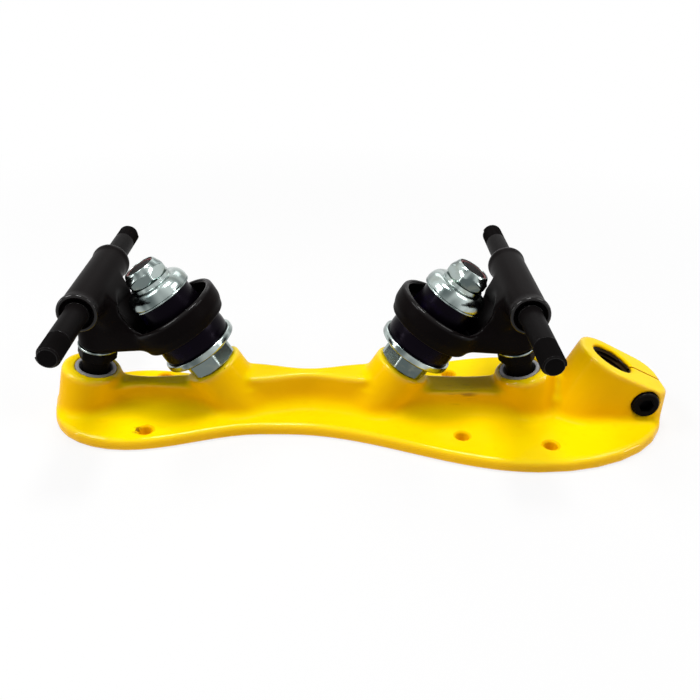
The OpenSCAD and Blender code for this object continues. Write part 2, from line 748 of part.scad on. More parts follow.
base_plate();
toe_stop_sleeve();
toe_clamp_screw();
toe_clamp_nut();
truck_hanger();  // front_hanger
truck_axle(front_axle_len);  // front_axle
truck_pivot_pin();  // front_pivot_pin
truck_pivot_nut();  // front_pivot_nut
truck_pivot_washer();  // front_pivot_washer
truck_pivot_cup();  // front_pivot_cup
truck_kingpin();  // front_kingpin
truck_kingpin_insert();  // front_kingpin_insert
truck_kingpin_jam_nut();  // front_kingpin_jam_nut
truck_lower_washer();  // front_lower_washer
truck_lower_cushion();  // front_lower_cushion
truck_upper_cushion();  // front_upper_cushion
truck_cushion_cup();  // front_cushion_cup
truck_kingpin_nut();  // front_kingpin_nut
truck_nut_lock_ring();  // front_nut_lock_ring
at_rear() truck_hanger();  // rear_hanger
at_rear() truck_axle(rear_axle_len);  // rear_axle
at_rear() truck_pivot_pin();  // rear_pivot_pin
at_rear() truck_pivot_nut();  // rear_pivot_nut
at_rear() truck_pivot_washer();  // rear_pivot_washer
at_rear() truck_pivot_cup();  // rear_pivot_cup
at_rear() truck_kingpin();  // rear_kingpin
at_rear() truck_kingpin_insert();  // rear_kingpin_insert
at_rear() truck_kingpin_jam_nut();  // rear_kingpin_jam_nut
at_rear() truck_lower_washer();  // rear_lower_washer
at_rear() truck_lower_cushion();  // rear_lower_cushion
at_rear() truck_upper_cushion();  // rear_upper_cushion
at_rear() truck_cushion_cup();  // rear_cushion_cup
at_rear() truck_kingpin_nut();  // rear_kingpin_nut
at_rear() truck_nut_lock_ring();  // rear_nut_lock_ring
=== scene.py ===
import json
import math

import bmesh
import bpy
import numpy as np
import openvdb
from mathutils import Matrix, Vector


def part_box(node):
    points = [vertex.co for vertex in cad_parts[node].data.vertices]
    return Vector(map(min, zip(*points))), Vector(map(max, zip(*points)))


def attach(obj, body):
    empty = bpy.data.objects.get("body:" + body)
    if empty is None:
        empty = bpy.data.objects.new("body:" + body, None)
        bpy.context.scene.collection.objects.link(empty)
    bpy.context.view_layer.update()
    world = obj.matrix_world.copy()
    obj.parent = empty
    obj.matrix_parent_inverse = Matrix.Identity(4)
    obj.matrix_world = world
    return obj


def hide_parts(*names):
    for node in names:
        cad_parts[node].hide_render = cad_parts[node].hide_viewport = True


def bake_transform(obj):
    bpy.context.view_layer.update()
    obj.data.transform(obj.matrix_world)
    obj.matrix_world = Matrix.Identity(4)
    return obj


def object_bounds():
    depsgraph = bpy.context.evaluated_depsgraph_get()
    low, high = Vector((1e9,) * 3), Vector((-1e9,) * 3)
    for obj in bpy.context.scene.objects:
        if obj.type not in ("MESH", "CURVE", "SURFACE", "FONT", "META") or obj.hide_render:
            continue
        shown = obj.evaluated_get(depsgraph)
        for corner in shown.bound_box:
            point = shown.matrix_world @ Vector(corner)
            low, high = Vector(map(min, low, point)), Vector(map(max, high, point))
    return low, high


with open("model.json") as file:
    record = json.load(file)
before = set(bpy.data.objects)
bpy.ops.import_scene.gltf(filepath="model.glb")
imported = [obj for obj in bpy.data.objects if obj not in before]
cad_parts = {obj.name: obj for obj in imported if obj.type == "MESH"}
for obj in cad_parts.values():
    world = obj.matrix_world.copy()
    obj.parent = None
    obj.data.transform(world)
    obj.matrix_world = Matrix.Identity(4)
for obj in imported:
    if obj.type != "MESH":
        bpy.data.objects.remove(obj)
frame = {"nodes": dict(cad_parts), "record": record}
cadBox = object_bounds()
nodes = frame["nodes"]
mounts = {m["name"]: m for m in frame["record"]["mounts"]}
mm = 0.001
print("frame loaded:", len(nodes), "nodes")


# Camera, light and floor

camera = dict(
    lens=40.48, elevation=28.96, azimuth=0.94, roll=0.75, place=(11.6, -261.8, 173.5),
    clip=(0.01, 20))


def addCamera(c):
    elevation, azimuth, roll = (math.radians(c[k]) for k in ("elevation", "azimuth", "roll"))
    look = Vector((
        math.sin(azimuth) * math.cos(elevation),
        math.cos(azimuth) * math.cos(elevation),
        -math.sin(elevation)))
    right = Vector((math.cos(azimuth), -math.sin(azimuth), 0))
    up = right.cross(look)
    across = right * math.cos(roll) + up * math.sin(roll)
    upward = up * math.cos(roll) - right * math.sin(roll)
    data = bpy.data.cameras.new("photoCamera")
    data.lens = c["lens"]
    data.clip_start, data.clip_end = c["clip"]
    obj = bpy.data.objects.new("photoCamera", data)
    turn = Matrix((across, upward, -look)).transposed()
    obj.matrix_world = Matrix.Translation(Vector(c["place"]) * mm) @ turn.to_4x4()
    bpy.context.scene.collection.objects.link(obj)
    bpy.context.scene.camera = obj


light = dict(
    lamps=(  # name, place, aim, size, watts
        ("leftSoftbox", (-0.55, -0.12, 0.62), (0, 0, 0), (0.35, 0.3), 3.3),
        ("rightSoftbox", (0.6, -0.08, 0.62), (0.02, 0, 0), (0.35, 0.3), 2.0),
        ("topSoftbox", (0.02, -0.05, 0.9), (0.02, 0, 0), (0.3, 0.2), 4.6),
        ("leftStrip", (-0.7, -0.17, 0.19), (0, 0, 0.04), (0.06, 0.22), 0.55),
        ("rightStrip", (0.72, -0.17, 0.19), (0, 0, 0.04), (0.06, 0.22), 0.55),
        ("backSoftbox", (0.1, 0.6, 0.5), (0.02, 0, 0.02), (0.5, 0.25), 0.6)),
    fill=0.10, floorGrey=0.78, floorGlow=0.8, clear=(0.16, 0.45), floorHalf=4.0, floorDrop=0.0002)


def addLight(c):
    for name, place, aim, size, watts in c["lamps"]:
        data = bpy.data.lights.new(name, "AREA")
        data.shape = "RECTANGLE"
        data.size, data.size_y = size
        data.energy = watts
        obj = bpy.data.objects.new(name, data)
        turn = (Vector(place) - Vector(aim)).to_track_quat("Z", "Y")
        obj.matrix_world = Matrix.Translation(place) @ turn.to_matrix().to_4x4()
        bpy.context.scene.collection.objects.link(obj)
    bpy.context.scene.view_settings.view_transform = "Standard"


# Shader maths

class Wire:
    def __init__(self, finish, socket):
        self.finish, self.socket = finish, socket

    def sum(self, operation, other, flip=False):
        pair = [other, self] if flip else [self, other]
        made = self.finish.node("ShaderNodeMath", dict(operation=operation), dict(enumerate(pair)))
        return Wire(self.finish, made.outputs[0])

    def __add__(self, other):
        return self.sum("ADD", other)

    def __sub__(self, other):
        return self.sum("SUBTRACT", other)

    def __rsub__(self, other):
        return self.sum("SUBTRACT", other, True)

    def __mul__(self, other):
        return self.sum("MULTIPLY", other)

    def __lt__(self, other):
        return self.sum("LESS_THAN", other)

    __radd__, __rmul__ = __add__, __mul__

    def clamp(self, low, high):  # 0 to 1 as the value goes from low to high
        made = self.finish.node(
            "ShaderNodeMapRange", dict(interpolation_type="SMOOTHSTEP"),
            {"Value": self, "From Min": low, "From Max": high})
        return Wire(self.finish, made.outputs[0])


class Finish:
    def __init__(self, tree):
        self.tree = tree
        tree.nodes.clear()

    def node(self, kind, settings=None, sockets=None):
        made = self.tree.nodes.new(kind)
        for key, value in (settings or {}).items():
            setattr(made, key, value)
        for key, value in (sockets or {}).items():
            if isinstance(value, Wire):
                self.tree.links.new(value.socket, made.inputs[key])
            else:
                made.inputs[key].default_value = value
        return made

    def wire(self, kind, output, settings=None, sockets=None):
        return Wire(self, self.node(kind, settings, sockets).outputs[output])

    def place(self, name="Object"):
        return self.wire("ShaderNodeTexCoord", name)

    def noise(self, scale, detail=3, rough=0.5, place=None, distortion=0.0):
        return self.wire("ShaderNodeTexNoise", "Fac", None, {
            "Vector": place or self.place(), "Scale": scale, "Detail": detail,
            "Roughness": rough, "Distortion": distortion})

    def stretched(self, scale, name="Object"):
        return self.wire("ShaderNodeMapping", "Vector", None, {
            "Vector": self.place(name), "Scale": scale})

    def spots(self, scale, size, share):  # sparse round specks
        cells = self.node("ShaderNodeTexVoronoi", None, {"Vector": self.place(), "Scale": scale})
        colour = Wire(self, cells.outputs["Color"])
        pick = self.wire("ShaderNodeSeparateColor", 0, None, {0: colour})
        return (Wire(self, cells.outputs["Distance"]) < size) * (pick < share)

    def near(self, spot, radius, core=0.35):  # 1 at a spot, fading to 0 at the radius
        far = self.wire(
            "ShaderNodeVectorMath", "Value", dict(operation="DISTANCE"), {0: self.place(), 1: spot})
        return 1 - far.clamp(radius * core, radius)

    def attribute(self, name):
        return self.wire("ShaderNodeAttribute", "Fac", dict(attribute_name=name))

    def mix(self, factor, first, second):
        return self.wire("ShaderNodeMix", 2, dict(data_type="RGBA"), {
            0: factor, 6: first, 7: second})

    def bump(self, height, strength, distance):
        return self.wire("ShaderNodeBump", 0, None, {
            "Height": height, "Strength": strength, "Distance": distance})

    def surface(self, shader, output="ShaderNodeOutputMaterial"):
        end = self.node(output)
        self.tree.links.new(shader, end.inputs["Surface"])

    def principled(self, sockets):
        self.surface(self.node("ShaderNodeBsdfPrincipled", None, sockets).outputs[0])


def newFinish(name):
    material = bpy.data.materials.new(name)
    material.use_nodes = True
    return material, Finish(material.node_tree)


def rgb(red, green, blue):
    return (red, green, blue, 1)


def seenByEye(f):  # camera, mirror and glass rays
    rays = f.node("ShaderNodeLightPath")
    seen = Wire(f, rays.outputs["Is Camera Ray"]) + Wire(f, rays.outputs["Is Glossy Ray"])
    return (seen + Wire(f, rays.outputs["Is Transmission Ray"])).clamp(0, 1)


def addFloor(c):
    world = bpy.data.worlds.new("paleStudio")
    bpy.context.scene.world = world
    world.use_nodes = True
    f = Finish(world.node_tree)
    level = c["fill"] + seenByEye(f) * (1 - c["fill"])
    back = f.node("ShaderNodeBackground", None, {"Color": rgb(1, 1, 1), "Strength": level})
    f.surface(back.outputs[0], "ShaderNodeOutputWorld")
    material, f = newFinish("paleFloor")
    grey = c["floorGrey"]
    matt = f.node("ShaderNodeBsdfDiffuse", None, {"Color": rgb(grey, grey, grey)})
    glow = f.node("ShaderNodeEmission", None, {"Color": rgb(1, 1, 1), "Strength": 1.0})
    away = f.wire("ShaderNodeVectorMath", "Value", dict(operation="LENGTH"), {0: f.place()})
    glowing = c["floorGlow"] + away.clamp(*c["clear"]) * (1 - c["floorGlow"])
    both = f.node("ShaderNodeMixShader", None, {0: seenByEye(f) * glowing})
    f.tree.links.new(matt.outputs[0], both.inputs[1])
    f.tree.links.new(glow.outputs[0], both.inputs[2])
    f.surface(both.outputs[0])
    half = c["floorHalf"]
    corners = [(-half, -half, 0), (half, -half, 0), (half, half, 0), (-half, half, 0)]
    mesh = bpy.data.meshes.new("paleFloor")
    mesh.from_pydata(corners, [], [(0, 1, 2, 3)])
    mesh.materials.append(material)
    floor = bpy.data.objects.new("paleFloor", mesh)
    floor.data.transform(Matrix.Translation((0, 0, cadBox[0].z - c["floorDrop"])))
    bpy.context.scene.collection.objects.link(floor)


addCamera(camera)
addLight(light)
addFloor(light)
print("camera, lamps and floor set")


# Finishes

# wall and top are a shaded and a lit copy of one yellow: painted shade on upright sides, painted
# light on tops
yellow = dict(
    wall=rgb(0.95, 0.52, 0.0003), top=rgb(1.0, 0.725, 0.0007), cloud=rgb(0.97, 0.54, 0.0003),
    mottle=rgb(0.93, 0.50, 0.0003), speck=rgb(0.10, 0.03, 0.002), bore=rgb(0.55, 0.2, 0.0),
    slit=rgb(0.05, 0.016, 0.001), scuff=rgb(0.16, 0.05, 0.004), scoopDark=rgb(0.2, 0.08, 0.006),
    scuffAt=(-0.0633, -0.0196, 0.005), scuffR=0.003,
    scoopDarkAt=(0.059, -0.0045, 0.0141), scoopDarkR=0.008, streak=(110, 900, 900),
    rough=0.17, gloss=1.07, edgeGloss=0.5)


def yellowNylon(c):
    material, f = newFinish("yellowNylon")
    cloudy = f.noise(22, 4, 0.55)
    mottle = f.noise(260, 3)
    grain = f.noise(1500, 2)
    paintedToplight = f.attribute("up").clamp(0.1, 0.95)
    colour = f.mix(paintedToplight, c["wall"], c["top"])  # painted shade: upright sides darker and more amber, tops lighter, as light falls from above
    colour = f.mix(cloudy.clamp(0.4, 0.75) * 0.35, colour, c["cloud"])
    colour = f.mix(mottle.clamp(0.55, 0.8) * 0.2, colour, c["mottle"])
    colour = f.mix(f.spots(95, 0.036, 0.12) * 0.8, colour, c["speck"])
    inside = f.attribute("inside")  # 1 in the bores, 2 in the saw cut; marks where shade is painted
    # painted shade: bores darkened to a deep orange, the saw cut to near black
    colour = f.mix(inside * 0.7, colour, c["bore"])
    colour = f.mix(inside.clamp(1.2, 2.0) * 0.9, colour, c["slit"])
    scuffs = f.near(c["scuffAt"], c["scuffR"]) * f.noise(700, 3).clamp(0.42, 0.6)
    colour = f.mix(scuffs * 0.8, colour, c["scuff"])
    streaks = f.noise(1.0, 3, place=f.stretched(c["streak"])).clamp(0.5, 0.7)
    # a darker streaked patch on the front scoop floor
    scoopDark = f.near(c["scoopDarkAt"], c["scoopDarkR"]) * streaks
    colour = f.mix(scoopDark * 0.6, colour, c["scoopDark"])
    edge = f.attribute("edge").clamp(0.08, 0.45)
    f.principled({
        "Base Color": colour, "Roughness": c["rough"] + mottle * 0.12 + inside * 0.2,
        "IOR": c["gloss"], "Coat Weight": edge * c["edgeGloss"], "Coat Roughness": 0.11,
        "Normal": f.bump(mottle * 0.7 + grain * 0.3, 0.10, 0.0002)})
    return material


satin = dict(
    dark=rgb(0.0028, 0.0021, 0.0022), light=rgb(0.0052, 0.0038, 0.0038),
    rubbedGlint=rgb(0.016, 0.013, 0.012), rough=0.30, gloss=1.07, edgeGloss=0.6)


def satinBlack(c):
    material, f = newFinish("satinBlack")
    cloudy = f.noise(60, 4, 0.6)
    grain = f.noise(1900, 2)
    edge = f.attribute("edge")
    # lighter colour on convex edges: partly worn coating, partly a painted highlight along the
    # edges
    rubbedGlint = edge.clamp(0.18, 0.6) * f.noise(420, 3).clamp(0.35, 0.7)
    colour = f.mix(cloudy, c["dark"], c["light"])
    colour = f.mix(rubbedGlint * 0.5, colour, c["rubbedGlint"])
    f.principled({
        "Base Color": colour, "Roughness": c["rough"] + cloudy * 0.16 - rubbedGlint * 0.1,
        "IOR": c["gloss"], "Coat Weight": edge.clamp(0.14, 0.42) * c["edgeGloss"],
        "Coat Roughness": 0.10,
        "Normal": f.bump(grain, 0.12, 0.0001)})
    return material


steel = dict(
    dark=(0.0028, 0.0023, 0.0024), light=(0.005, 0.0042, 0.0042), browning=(1, 0.5, 0),
    brownMetal=8, rough=0.34, gloss=1.08, edgeGloss=0.5)


def blackSteel(name, brown, c):
    material, f = newFinish(name)
    cloudy = f.noise(90, 4, 0.6)
    lines = f.noise(1.0, 2, place=f.stretched((8, 2600, 8), "UV"))
    light = rgb(*(v + brown * share for v, share in zip(c["light"], c["browning"])))
    f.principled({
        "Base Color": f.mix(cloudy, rgb(*c["dark"]), light), "Metallic": brown * c["brownMetal"],
        "Roughness": c["rough"] + cloudy * 0.18, "IOR": c["gloss"],
        "Coat Weight": f.attribute("edge") * c["edgeGloss"], "Coat Roughness": 0.12,
        "Normal": f.bump(lines * 0.6 + f.noise(1600, 2) * 0.4, 0.10, 0.0001)})
    return material


zinc = dict(
    paintedDarkSheen=rgb(0.085, 0.11, 0.108), paintedLightSheen=rgb(0.47, 0.54, 0.52), stain=rgb(0.27, 0.28, 0.22),
    rough=0.08)


def zincPlate(name, faces, c):  # painted reflections: lighter and darker streaks, and on a nut each face painted a brightness of its own
    material, f = newFinish(name)
    cloudy = f.noise(130, 4, 0.6, distortion=0.4)
    lines = f.noise(1.0, 3, place=f.stretched((6, 1800, 6), "UV"))
    # painted reflection streaks, lighter and darker, along the turning
    paintedSheen = f.noise(1.0, 2, place=f.stretched((9, 5, 1), "UV")).clamp(0.36, 0.62)
    if faces:
        around = f.wire("ShaderNodeSeparateXYZ", 0, None, {0: f.place("UV")})
        face = (around * faces).sum("FLOOR", 0)
        # painted reflection: each face of a hexagon gets a brightness of its own
        own = f.wire(
            "ShaderNodeTexWhiteNoise", "Value", dict(noise_dimensions="1D"), {"W": face})
        paintedSheen = paintedSheen + f.attribute("facet") * (own - paintedSheen)
    colour = f.mix(paintedSheen, c["paintedDarkSheen"], c["paintedLightSheen"])
    colour = f.mix(cloudy.clamp(0.5, 0.75) * 0.5, colour, c["stain"])
    f.principled({
        "Base Color": colour, "Metallic": 1.0,
        "Roughness": c["rough"] + cloudy * 0.10 + lines * 0.05,
        "Normal": f.bump(lines, 0.10, 0.0001)})
    return material


violet = dict(
    dark=rgb(0.0014, 0.0007, 0.0019), light=rgb(0.004, 0.001, 0.016), shine=rgb(0.8, 0.66, 1.0),
    rough=0.20, gloss=1.14)


def violetUrethane(c):
    material, f = newFinish("violetUrethane")
    cloudy = f.noise(110, 3, 0.6)
    # violet patches: partly the urethane's own dark violet tint, partly painted glints
    f.principled({
        "Base Color": f.mix(cloudy.clamp(0.55, 0.8), c["dark"], c["light"]),
        "Roughness": c["rough"] + cloudy * 0.12, "IOR": c["gloss"], "Specular Tint": c["shine"],
        "Normal": f.bump(f.noise(700, 2), 0.06, 0.0001)})
    return material


def mouldedPlastic(name, colour, shade):
    material, f = newFinish(name)
    cloudy = f.noise(180, 4, 0.6)
    f.principled({
        "Base Color": f.mix(cloudy, colour, shade), "Roughness": 0.42 + cloudy * 0.15,
        "Normal": f.bump(f.noise(1300, 2), 0.12, 0.0001)})
    return material


finishes = dict(
    yellow_nylon=yellowNylon(yellow), coated_black=satinBlack(satin),
    black_steel=blackSteel("blackSteel", 0.0, steel),
    zinc_steel=zincPlate("zincPlate", 0, zinc), urethane=violetUrethane(violet),
    grey_plastic=mouldedPlastic("greyPlastic", rgb(0.34, 0.34, 0.35), rgb(0.22, 0.22, 0.23)),
    red_plastic=mouldedPlastic("redPlastic", rgb(0.11, 0.012, 0.012), rgb(0.06, 0.008, 0.008)))
zincNut = zincPlate("zincNut", 6, zinc)
slotOf = {s["node"]: s["material_slot"] for s in frame["record"]["subparts"]}
bodyOf = {n: b for b, names in frame["record"]["behaviour"]["bodies"].items() for n in names}
print("finishes made:", len(finishes))


# Measuring the frame

def midpoint(node):
    low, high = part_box(node)
    return (low + high) / 2


def boxOf(node):
    return [np.array(v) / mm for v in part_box(node)]


def corners(node):
    flat = np.empty(len(nodes[node].data.vertices) * 3)
    nodes[node].data.vertices.foreach_get("co", flat)
    return flat.reshape(-1, 3) / mm


class Spindle:  # a line that pieces are turned on, in millimetres from its base
    def __init__(self, base, along, side):
        self.w = along.normalized()
        self.u = (side - self.w * side.dot(self.w)).normalized()
        self.v = self.w.cross(self.u)
        self.base = base / mm

    def reach(self, node):  # along low, along high, radius low, radius high
        away = corners(node) - np.array(self.base)
        along = away @ np.array(self.w)
        radius = np.linalg.norm(away - along[:, None] * np.array(self.w), axis=1)
        return along.min(), along.max(), radius.min(), radius.max()

    def at(self, along):
        return (self.base + self.w * along) * mm

    def matrix(self, along=0):
        turn = Matrix((self.u, self.v, self.w)).transposed().to_4x4()
        return Matrix.Translation(self.at(along)) @ turn @ Matrix.Scale(mm, 4)


def truckSpindles(side):
    heel = Vector((1, 0, 0)) if side == "front" else Vector((-1, 0, 0))
    foot = midpoint(side + "_kingpin_insert")
    king = Spindle(foot, midpoint(side + "_kingpin") - foot, heel)
    king.base += king.w * king.reach(side + "_kingpin_jam_nut")[0]
    cup = midpoint(side + "_pivot_cup")
    pivot = Spindle(cup, midpoint(side + "_pivot_washer") - cup, heel)
    axle = Spindle(midpoint(side + "_axle"), Vector((0, 1, 0)), heel)
    return dict(king=king, pivot=pivot, axle=axle)


spindles = {side: truckSpindles(side) for side in ("front", "rear")}
stopMount = mounts["toe_stop_thread"]
stop = Spindle(Vector(stopMount["pos_m"]), Vector(stopMount["axis"]), Vector((1, 0, 0)))
clamp = Spindle(midpoint("toe_clamp_screw"), Vector((0, 1, 0)), Vector((1, 0, 0)))


# Building pieces

turnedSharp, carvedSharp, castSharp = 32, 50, 60  # degrees
fine, small, mild, broad = 0.1, 0.2, 0.25, 0.3  # corner radii of turned pieces
slimSteps, drillSteps = 64, 48  # facets around slim pieces and drills
uvLength = 100  # millimetres of profile to one height of the texture
weld = 1e-7


def shaded(mesh, sharpFrom):  # smooth, with edges sharp from an angle on
    mesh.shade_smooth()
    mesh.set_sharp_from_angle(angle=math.radians(sharpFrom))
    return mesh


def marked(mesh, values, label="inside"):  # gives every point a value that a finish reads
    layer = mesh.attributes.new(label, "FLOAT", "POINT")
    layer.data.foreach_set("value", np.full(len(mesh.vertices), values, np.float32))
    return mesh


def meshOf(name, points, faces, sharpFrom):
    mesh = bpy.data.meshes.new(name)
    mesh.from_pydata([tuple(p) for p in points], [], [tuple(f) for f in faces])
    mesh.validate()
    return shaded(mesh, sharpFrom)


def place(mesh, node, material=None, ride=True):
    slot = slotOf[node]
    mesh.materials.clear()
    mesh.materials.append(material or finishes[slot])
    obj = bpy.data.objects.new(node + "_look", mesh)
    bpy.context.scene.collection.objects.link(obj)
    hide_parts(node)
    if ride:
        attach(obj, bodyOf[node])
    return obj


def rounded(profile, closed, steps=4, most=0.49):  # swaps each corner for an arc of its own radius
    out, bent = [], []
    for i, (r, t, c) in enumerate(profile):
        corner = Vector((r, t))
        if not c or (not closed and i in (0, len(profile) - 1)):
            out.append(corner)
            bent.append(0)
            continue
        back = Vector(profile[i - 1][:2]) - corner
        on = Vector(profile[(i + 1) % len(profile)][:2]) - corner
        half = back.angle(on) / 2
        cut = min(c / math.tan(half), most * back.length, most * on.length)
        first, last = corner + back.normalized() * cut, corner + on.normalized() * cut
        for s in range(steps + 1):
            g = s / steps
            out.append(first * (1 - g) ** 2 + corner * (2 * g * (1 - g)) + last * g ** 2)
            bent.append(0 < s < steps)
    return out, bent


def flatsOf(corner):  # width across the flats of a hexagon
    return corner * math.sqrt(3)


def quarter(steps):  # angles from 0 to a right angle
    return [math.pi / 2 * i / steps for i in range(steps + 1)]


def shares(steps):  # even steps from 0 to 1
    return [i / steps for i in range(steps + 1)]


def hexReach(angle, flats, blunt):  # radius of a hexagon with blunted corners
    turn = (angle % (math.pi / 3)) - math.pi / 6
    return min(flats / 2 / math.cos(turn), flats / math.sqrt(3) - blunt)


def turned(name, profile, spindle, flats=0, blunt=0.12, steps=96, angles=None, socket=0):
    closed = profile[0][0] > 0
    line, bent = rounded(profile, closed)
    span = angles or (0, 2 * math.pi)
    whole = angles is None
    count = steps if whole else steps + 1
    turn = spindle.matrix()
    points, uv, facet = [], [], []
    length = 0
    for j, p in enumerate(line):
        length += (p - line[j - 1]).length if j else 0
        for i in range(count):
            a = span[0] + (span[1] - span[0]) * i / steps
            r = min(p.x, hexReach(a, flats, blunt)) if flats else p.x
            r = hexReach(a, socket, 0) if p.x < 0 else r
            facet.append(0 <= r < p.x)
            points.append(turn @ Vector((r * math.cos(a), r * math.sin(a), p.y)))
            uv.append((i / steps, length / uvLength))
    rows = len(line)
    faces = []
    for j in range(rows if closed else rows - 1):
        k = (j + 1) % rows
        for i in range(count if whole else steps):
            n = (i + 1) % count
            faces.append((j * count + i, j * count + n, k * count + n, k * count + i))
    if not whole:
        first = [j * count for j in range(rows)]
        faces += [first, [j + steps for j in first[::-1]]]
    mesh = bpy.data.meshes.new(name)
    mesh.from_pydata([tuple(p) for p in points], [], faces)
    marked(mesh, np.repeat(bent, count), "edge")
    if flats:
        marked(mesh, facet, "facet")
    layer = mesh.uv_layers.new(name="turning")
    for loop in mesh.loops:
        layer.data[loop.index].uv = uv[loop.vertex_index]
    return tidied(mesh)


def tidied(mesh):  # merges poles, points faces outwards and shades
    bm = bmesh.new()
    bm.from_mesh(mesh)
    bmesh.ops.remove_doubles(bm, verts=bm.verts, dist=weld)
    bmesh.ops.recalc_face_normals(bm, faces=bm.faces)
    bm.to_mesh(mesh)
    bm.free()
    return shaded(mesh, turnedSharp)


def together(mesh, *others):  # adds other meshes to one
    bm = bmesh.new()
    for part in (mesh, *others):
        bm.from_mesh(part)
    bm.to_mesh(mesh)
    bm.free()
    for part in others:
        bpy.data.meshes.remove(part)
    return shaded(mesh, turnedSharp)


bandCells = 5  # grid cells kept beyond a radius
edgeSpread = 6  # rounds of evening out that tell an edge from a flat face


class Casting:  # signed distances, in millimetres, on a grid around one cast piece
    def __init__(self, low, high, cell, margin):
        self.cell = cell
        self.start = [math.floor((v - margin) / cell) for v in low]
        self.size = [math.ceil((v + margin) / cell) - s + 1 for v, s in zip(high, self.start)]
        lines = [(s + np.arange(n, dtype=np.float32)) * cell for s, n in zip(self.start, self.size)]
        self.x, self.y, self.z = np.meshgrid(*lines, indexing="ij", sparse=True)
        self.grid = openvdb.createLinearTransform(cell)

    def fromFaces(self, points, faces, band):
        kind = "triangles" if faces.shape[1] == 3 else "quads"
        solid = openvdb.FloatGrid.createLevelSetFromPolygons(
            points, transform=self.grid, halfWidth=band / self.cell, **{kind: faces})
        values = np.zeros(self.size, np.float32)
        solid.copyToArray(values, ijk=self.start)
        return values

    def fromNode(self, node, band):
        mesh = nodes[node].data
        mesh.calc_loop_triangles()
        faces = np.empty(len(mesh.loop_triangles) * 3, np.uint32)
        mesh.loop_triangles.foreach_get("vertices", faces)
        return self.fromFaces(corners(node).astype(np.float32), faces.reshape(-1, 3), band)

    def skin(self, values, level=0.0):
        solid = openvdb.FloatGrid(float(values.max()))
        solid.copyFromArray(np.ascontiguousarray(values, np.float32), ijk=self.start)
        solid.transform = self.grid
        return solid.convertToQuads(level)

    def filled(self, values, radius):  # fills inside corners to that radius
        points, faces = self.skin(values, radius)
        return self.fromFaces(points, faces, radius + bandCells * self.cell) + radius

    def swept(self, values, radius, flat, cell, low, high):  # fills upright corners over a height
        first, last = (round(v / self.cell) - self.start[2] for v in (low, high))
        upright = values.copy()
        upright[:, :, :first] = values[:, :, first:first + 1]
        upright[:, :, last:] = values[:, :, last:last + 1]
        points, faces = self.skin(upright)
        tall = np.array((1, 1, flat), np.float32)
        points, band = points * tall, radius + bandCells * cell
        wide = Casting(points.min(0), points.max(0), cell, band)
        points, faces = wide.skin(wide.filled(wide.fromFaces(points, faces, band), radius))
        return self.fromFaces(points / tall, faces, radius)

    def rod(self, spindle, radius, low, high):  # a round bar on a spindle
        along, away = self.polar(spindle)
        side, end = away - radius, np.maximum(low - along, along - high)
        outside = np.hypot(np.maximum(side, 0), np.maximum(end, 0))
        return outside + np.minimum(np.maximum(side, end), 0)

    def polar(self, spindle):  # distance along a spindle and away from it
        b, w = spindle.base, spindle.w
        dx, dy, dz = self.x - b.x, self.y - b.y, self.z - b.z
        along = dx * w.x + dy * w.y + dz * w.z
        return along, np.sqrt(np.maximum(dx * dx + dy * dy + dz * dz - along * along, 0))

    def sample(self, values, points):  # values read between the grid points
        at = np.clip(points / self.cell - np.array(self.start), 0, np.array(self.size) - 1.001)
        base = at.astype(int)
        part = at - base
        out = np.zeros(len(points))
        for corner in np.ndindex(2, 2, 2):
            share = np.prod(np.where(corner, part, 1 - part), axis=1)
            i, j, k = (base + corner).T
            out += share * values[i, j, k]
        return out


def soft(values, times):  # evens out a grid of distances
    for axis in range(3):
        for _ in range(times):
            values = 0.5 * values + 0.25 * (np.roll(values, 1, axis) + np.roll(values, -1, axis))
    return values


def join(a, b, blend):  # union with a blended seam
    h = np.clip(0.5 + 0.5 * (b - a) / blend, 0, 1)
    return b + (a - b) * h - blend * h * (1 - h)


def cut(a, b, blend):  # takes b out of a, with a rounded edge
    return -join(-a, b, blend)


def castMesh(name, casting, values, marks):
    points, faces = casting.skin(values)
    mesh = meshOf(name, points * mm, faces, castSharp)
    for label, grid in marks.items():
        marked(mesh, casting.sample(grid, points), label)
    return mesh


# Base plate

plate = dict(
    cell=0.69, fillet=3.4, crease=1.8, softBelow=8.5, crispAbove=13.0, polish=1, hollowShine=0.6,
    sweep=22, sweepFlat=4, sweepSpan=(5.6, 13.5), sweepEnd=88, sweepCell=1.3, sweepBack=0.2,
    sweepUnder=1,
    plug=1.0, cupPlug=0.6, headPlug=1.6, past=60, over=5, lap=1, fit=0.05,
    mouthRound=1.2, boreRound=0.7, deepFade=0.8, stemRoom=0.3, slitHalf=0.5, slitFloor=6.4,
    holeFlare=0.9, holeOver=3, flareSteps=5,
    headHigh=6.0, headRoom=0.25, screwR=3.3, nutRoom=0.1)


